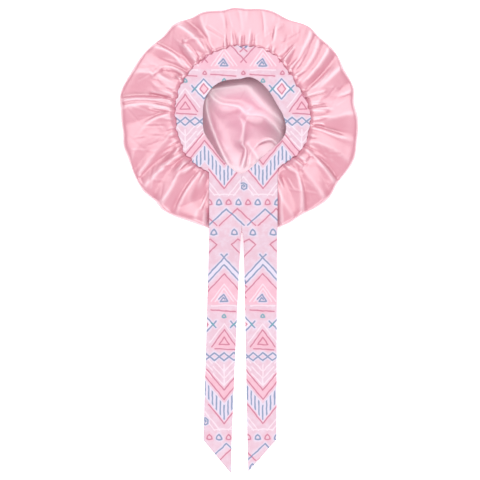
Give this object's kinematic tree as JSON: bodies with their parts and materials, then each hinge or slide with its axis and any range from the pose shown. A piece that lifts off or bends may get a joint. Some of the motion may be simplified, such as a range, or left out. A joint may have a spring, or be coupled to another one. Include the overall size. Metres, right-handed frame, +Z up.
{
  "type": "sleep bonnet",
  "caption": "Round satin sleep bonnet lying open side up: a puffed, gathered crown around a printed band whose ends run on as two long flat ties.",
  "frame": {"origin": "on the table, in the middle of the crown's floor", "axes": "+Z up out of the head opening, +Y away from the ties, so the ties run along -Y"},
  "size_m": [0.3472, 0.6736, 0.0498],
  "materials": {
    "satin": "glossy pink satin",
    "printed_cloth": "pale pink cloth with a fine drawn geometric print"
  },
  "bodies": {
    "root": {"crown": "satin", "tie_band": "printed_cloth"}
  },
  "joints": []
}
